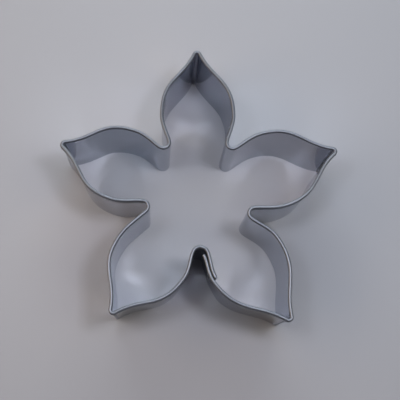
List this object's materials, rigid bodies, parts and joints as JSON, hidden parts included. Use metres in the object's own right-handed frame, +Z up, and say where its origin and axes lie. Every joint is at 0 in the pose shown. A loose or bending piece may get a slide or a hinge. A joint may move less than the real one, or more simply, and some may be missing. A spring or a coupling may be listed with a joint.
{
  "type": "flower pastry cutter",
  "caption": "Open pastry cutter bent from one steel strip to a flower of pointed petals, with a rolled top edge and a spot-welded lap seam.",
  "frame": {"origin": "on the plane of the cutting edge, under the middle of the outline's box", "axes": "+Z up from the cutting edge to the rolled edge; +Y to the tip of the petal opposite the seam; +X to the right, seen from above"},
  "size_m": [0.089, 0.089, 0.0254],
  "materials": {
    "strip_steel": "rolled sheet, satin with soft reflections",
    "weld_metal": "dull, heat tinted"
  },
  "bodies": {
    "root": {"cutter_band": "strip_steel", "seam_spot_welds": "weld_metal"}
  },
  "joints": []
}
